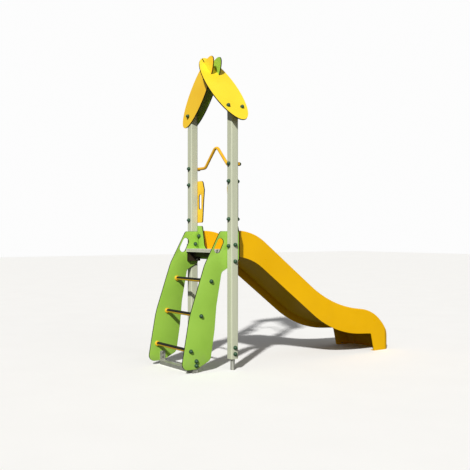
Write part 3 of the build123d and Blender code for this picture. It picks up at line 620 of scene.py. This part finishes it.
def rung_grips():
    """A ribbed shell over the upper half of every rung: two rings are joined, drawn out and cut along."""
    bm = bmesh.new()
    reach = PANEL_INNER - GRIP_END_GAP
    narrow = GRIP_GROOVED_DIA / GRIP_DIA
    for i in range(RUNG_COUNT):
        x, z = rung_place(i)
        shell = bmesh.new()
        outer = bmesh.ops.create_circle(shell, cap_ends=False, radius=GRIP_DIA / 2 * MM, segments=144)
        grooves = [v for k, v in enumerate(outer["verts"]) if k % 4 > 1]
        bmesh.ops.scale(shell, verts=grooves, vec=(narrow, narrow, 1))
        bmesh.ops.create_circle(shell, cap_ends=False, radius=RUNG_DIA / 2 * MM, segments=144)
        bmesh.ops.bridge_loops(shell, edges=shell.edges[:])
        drawn = bmesh.ops.extrude_face_region(shell, geom=shell.faces[:])["geom"]
        moved = [g for g in drawn if isinstance(g, bmesh.types.BMVert)]
        bmesh.ops.translate(shell, verts=moved, vec=(0, 0, 2 * reach * MM))
        along_rung = frame_to(at(x, -reach, z), Vector((0, 1, 0)))
        bmesh.ops.transform(shell, matrix=along_rung, verts=shell.verts[:])
        bmesh.ops.bisect_plane(shell, geom=shell.verts[:] + shell.edges[:] + shell.faces[:],
                               plane_co=at(x, 0, z + GRIP_ABOVE_AXIS), plane_no=(0, 0, 1), clear_inner=True)
        bmesh.ops.holes_fill(shell, edges=[e for e in shell.edges if e.is_boundary], sides=0)
        add_form(bm, shell)
    bmesh.ops.recalc_face_normals(bm, faces=bm.faces[:])
    place_piece(bm, "rung_grip_strips", [grip_rubber], ["rung_grips"])


guard_bar()
for i in range(RUNG_COUNT):
    rung_tube(i)
rung_grips()


# ---- bolt caps ----------------------------------------------------------------------------------------
def cap_places():
    """Every cap as (point on the surface, direction it faces)."""
    places = []
    back = Vector((-1, 0, 0))
    front = Vector((1, 0, 0))
    for side in SIDES:
        out = Vector((0, side, 0))
        outer = side * (POST_Y + POST_HALF)
        for z in (*HANDLE_BOLTS, ENTRANCE_BOLT):
            places.append((at(-POST_HALF, side * POST_Y, z), back))
            places.append((at(POST_HALF + SHEET, side * POST_Y, z), front))
        places.append((at(-POST_HALF, side * POST_Y, GUARD_BOLT), back))
        places.append((at(POST_HALF + GUARD_DIA, side * POST_Y, GUARD_BOLT), front))
        places.append((at(0, outer, LADDER_BOLT), out))
        places.append((at(0, side * PANEL_INNER, LADDER_BOLT), -out))
        places.append((at(0, outer, BEARER_BOLT), out))
        for z in POST_FOOT_BOLTS:
            places.append((at(0, outer, z), out))
            places.append((at(0, side * POST_INNER, z), -out))
        for i in range(RUNG_COUNT):
            x, z = rung_place(i)
            places.append((at(x, side * POST_INNER, z), out))
        for z in LADDER_FOOT_BOLTS:
            places.append((at(LADDER_FOOT_X, side * POST_INNER, z), out))
        places.append((at(POST_HALF, side * CHUTE_BOLT_Y, CHUTE_BOLT), back))
    places.append((at(-POST_HALF - SHEET, POST_Y, LEAF_BOLT), back))
    places.append((at(POST_HALF + SHEET, POST_Y, LEAF_BOLT), front))
    up = Vector((0, -math.sin(ROOF_SLOPE), math.cos(ROOF_SLOPE)))
    for side in SIDES:
        places.append((at(side * ROOF_BOLTS_APART, *ROOF_BOLT_LINE) + up * (SHEET / 2 * MM), up))
    return places


def bolt_caps():
    """Every cap alike: a low collar, a small step and a high dome with a shallow dimple."""
    bm = bmesh.new()
    for point, way in cap_places():
        add_spun(bm, CAP_PROFILE, 32, frame_to(point, way))
    place_piece(bm, "bolt_cap_set", [cap_plastic], ["bolt_caps"], angle=50)


bolt_caps()


# ---- pieces whose CAD form is right, joined and shaded smoothly ---------------------------------------
def smooth_copy(node, material, angle=32):
    bm = merged_copy(node)
    place_piece(bm, node + "_body", [material], [node], angle)


for node in ("post_near", "post_rear"):
    smooth_copy(node, post_coat)
smooth_copy("slide_chute", chute_plastic, angle=36)
for node in ("post_foot_near", "post_foot_rear", "ladder_foot", "roof_bracket"):
    smooth_copy(node, leg_zinc)
for node in ("deck_plate", "deck_nosing"):
    smooth_copy(node, deck_metal)
smooth_copy("post_cap_rear", black_plastic)


def coat_cad_node(node, material):
    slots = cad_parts[node].data.materials
    slots.clear()
    slots.append(material)


# The bearers and beams under the deck take the dark brown coat: painted shade where the deck's shadow falls.
for node in ("deck_bearer_near", "deck_bearer_far", "deck_beam_front", "deck_beam_back"):
    coat_cad_node(node, frame_coat_painted_shade)
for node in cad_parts:
    if node in ("washers", "nuts", "rung_inserts", "post_insert_near", "chute_anchors", "chute_bolts_low"):
        coat_cad_node(node, bolt_zinc)
    elif node.endswith("_bolts") or node.endswith("_bolt"):
        coat_cad_node(node, bolt_zinc)


# ---- floor, light and camera --------------------------------------------------------------------------
def floor():
    bm = bmesh.new()
    bmesh.ops.create_grid(bm, x_segments=8, y_segments=8, size=40)
    mesh = bpy.data.meshes.new("floor")
    bm.to_mesh(mesh)
    bm.free()
    mesh.materials.append(plain_floor("plain_floor"))
    piece = bpy.data.objects.new("floor", mesh)
    piece.location.z = -0.0005
    bpy.context.scene.collection.objects.link(piece)


def soft_sun(name, travel, spread, strength):
    """An even light from one side, with soft-edged shadows; spread is its width in degrees."""
    lamp = bpy.data.lights.new(name, "SUN")
    lamp.angle = math.radians(spread)
    lamp.energy = strength
    lamp.color = (1.0, 0.985, 0.95)
    holder = bpy.data.objects.new(name, lamp)
    holder.rotation_mode = "QUATERNION"
    holder.rotation_quaternion = Vector(travel).to_track_quat("-Z", "Y")
    bpy.context.scene.collection.objects.link(holder)


def studio(seen, ambient):
    """A white studio: the backdrop looks white, and gives less light than it shows."""
    world = bpy.data.worlds.new("studio")
    world.use_nodes = True
    nodes = world.node_tree.nodes
    strength = nodes.new("ShaderNodeMapRange")
    strength.inputs["To Min"].default_value = ambient
    strength.inputs["To Max"].default_value = seen
    ray = nodes.new("ShaderNodeLightPath")
    world.node_tree.links.new(ray.outputs["Is Camera Ray"], strength.inputs["Value"])
    backdrop = nodes["Background"]
    backdrop.inputs["Color"].default_value = (1.0, 1.0, 1.0, 1.0)
    world.node_tree.links.new(strength.outputs["Result"], backdrop.inputs["Strength"])
    bpy.context.scene.world = world


floor()
studio(seen=0.98, ambient=0.19)
soft_sun("key", (0.76, 0.66, -0.72), 2.5, 4.15)
soft_sun("fill", (-0.05, 1.0, -0.25), 40.0, 0.42)

camera = bpy.data.objects.new("camera", bpy.data.cameras.new("camera"))
camera.data.sensor_width = 36
camera.data.lens = 56.834
camera.location = at(-4590, -6996, 1468)
camera.rotation_euler = (math.radians(89.93), 0, math.radians(-35.057))
camera.data.clip_end = 200
bpy.context.scene.collection.objects.link(camera)
bpy.context.scene.camera = camera
bpy.context.scene.view_settings.view_transform = "Standard"
